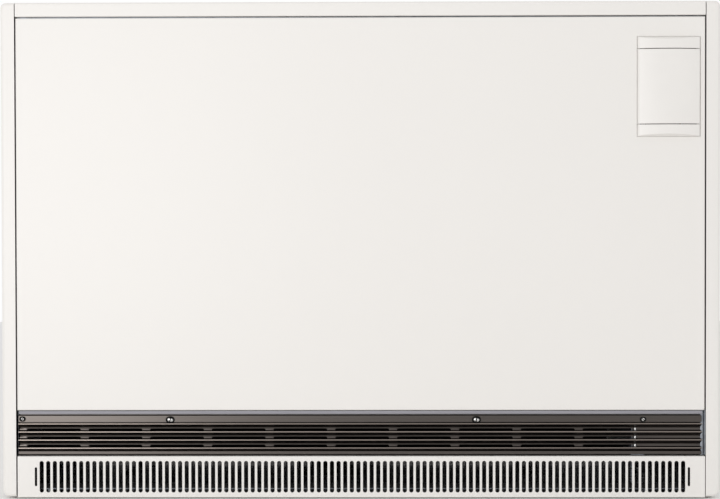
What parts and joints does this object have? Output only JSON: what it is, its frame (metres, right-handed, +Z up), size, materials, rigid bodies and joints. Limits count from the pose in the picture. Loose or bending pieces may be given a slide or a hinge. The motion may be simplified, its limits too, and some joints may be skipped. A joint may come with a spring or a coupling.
{
  "type": "storage heater",
  "caption": "Floor-standing fan-assisted storage heater: white steel case with a brick core, a louvred warm-air grille, a slotted pull-out intake panel and a flap over its controls.",
  "frame": {"origin": "centre of the footprint, on the floor", "axes": "+X to the right of someone who faces the heater, front faces -Y, +Z up"},
  "size_m": [0.955, 0.259, 0.66],
  "materials": {
    "case_white": "satin powder coat",
    "case_white_rear": "satin powder coat",
    "grille_bronze": "metallic bronze paint",
    "zinc": "galvanised",
    "steel": "plain",
    "element_tube": "heat-tinted",
    "insulation": "matt fibre board",
    "brick": "matt fired",
    "porcelain": "unglazed",
    "abs_white": "fine satin",
    "abs_shade": "satin",
    "black_plastic": "matt",
    "net_plastic": "matt",
    "red_plastic": "gloss",
    "lamp_orange": "clear tinted",
    "bimetal": "rolled",
    "bronze_bush": "sintered",
    "wire": "silicone sleeve",
    "rubber": "matt"
  },
  "bodies": {
    "case": {"side_cover_left": "case_white", "side_cover_right": "case_white", "top_cover": "case_white", "front_panel": "case_white", "rear_panel": "case_white_rear", "outlet_grille": "grille_bronze", "grille_end_brackets": "zinc", "grille_rivets": "steel", "grille_screws": "steel", "base_frame": "zinc", "side_wall_left": "zinc", "side_wall_right": "zinc", "partition_wall": "zinc", "core_tray": "zinc", "upper_front_rail": "zinc", "lower_front_rail": "zinc", "insulation_base": "insulation", "insulation_front": "insulation", "insulation_rear": "insulation", "insulation_left": "insulation", "insulation_right": "insulation", "insulation_top": "insulation", "core_bricks_lower": "brick", "core_bricks_middle": "brick", "core_bricks_upper": "brick", "air_deflector": "steel", "heating_element_lower": "element_tube", "heating_element_middle": "element_tube", "heating_element_upper": "element_tube", "air_divider": "zinc", "blower_housings": "zinc", "blower_motor": "steel", "blower_bushes": "bronze_bush", "bimetal_coil": "bimetal", "terminal_plate": "zinc", "mains_terminal_block": "porcelain", "power_relay": "black_plastic", "charge_controller": "abs_shade", "safety_limiter": "black_plastic", "core_sensor": "steel", "cable_grommet": "rubber", "internal_wiring": "wire", "module_housing": "abs_white", "flap_pins": "steel", "module_fascia": "abs_shade", "dial_potentiometer": "black_plastic", "pilot_lamp": "lamp_orange"},
    "flap": {"control_flap": "abs_white"},
    "dial": {"thermostat_dial": "abs_white"},
    "rocker": {"rocker_switch": "black_plastic"},
    "intake": {"intake_panel": "case_white", "lint_filter": "net_plastic"},
    "fastener_left": {"grille_fastener_left": "steel"},
    "fastener_right": {"grille_fastener_right": "steel"},
    "blower_rotor": {"blower_shaft": "steel", "impeller_left": "zinc", "impeller_right": "zinc"},
    "damper": {"mixing_damper": "zinc"},
    "trim_knob": {"charge_trim_knob": "black_plastic"},
    "reset_button": {"limiter_reset_button": "red_plastic"}
  },
  "joints": [
    {"name": "flap_hinge", "type": "hinge", "parent": "case", "child": "flap", "pos_m": [0.3722, -0.1198, 0.5468], "axis": [0, 0, -1], "range_deg": [0, 90]},
    {"name": "dial_turn", "type": "hinge", "parent": "case", "child": "dial", "pos_m": [0.4129, -0.1163, 0.5644], "axis": [0, -1, 0], "range_deg": [0, 270]},
    {"name": "rocker_tilt", "type": "hinge", "parent": "case", "child": "rocker", "pos_m": [0.4129, -0.1115, 0.5174], "axis": [-1, 0, 0], "range_deg": [0, 16]},
    {"name": "intake_pull", "type": "slide", "parent": "case", "child": "intake", "axis": [0, -1, 0], "range_m": [0, 0.045]},
    {"name": "fastener_left_turn", "type": "hinge", "parent": "case", "child": "fastener_left", "pos_m": [-0.2533, -0.1205, 0.1047], "axis": [0, -1, 0], "range_deg": [0, 90]},
    {"name": "fastener_right_turn", "type": "hinge", "parent": "case", "child": "fastener_right", "pos_m": [0.1547, -0.1205, 0.1047], "axis": [0, -1, 0], "range_deg": [0, 90]},
    {"name": "blower_spin", "type": "hinge", "parent": "case", "child": "blower_rotor", "pos_m": [-0.04785, 0.0595, 0.062], "axis": [1, 0, 0], "continuous": true},
    {"name": "damper_swing", "type": "hinge", "parent": "case", "child": "damper", "pos_m": [-0.04785, -0.0305, 0.114], "axis": [1, 0, 0], "range_deg": [0, 40]},
    {"name": "trim_knob_turn", "type": "hinge", "parent": "case", "child": "trim_knob", "pos_m": [0.4101, -0.0711, 0.345], "axis": [0, -1, 0], "range_deg": [0, 270]},
    {"name": "reset_press", "type": "slide", "parent": "case", "child": "reset_button", "axis": [0, 1, 0], "range_m": [0, 0.0015], "stiffness_N_per_m": 400, "springref_m": -0.0005}
  ]
}
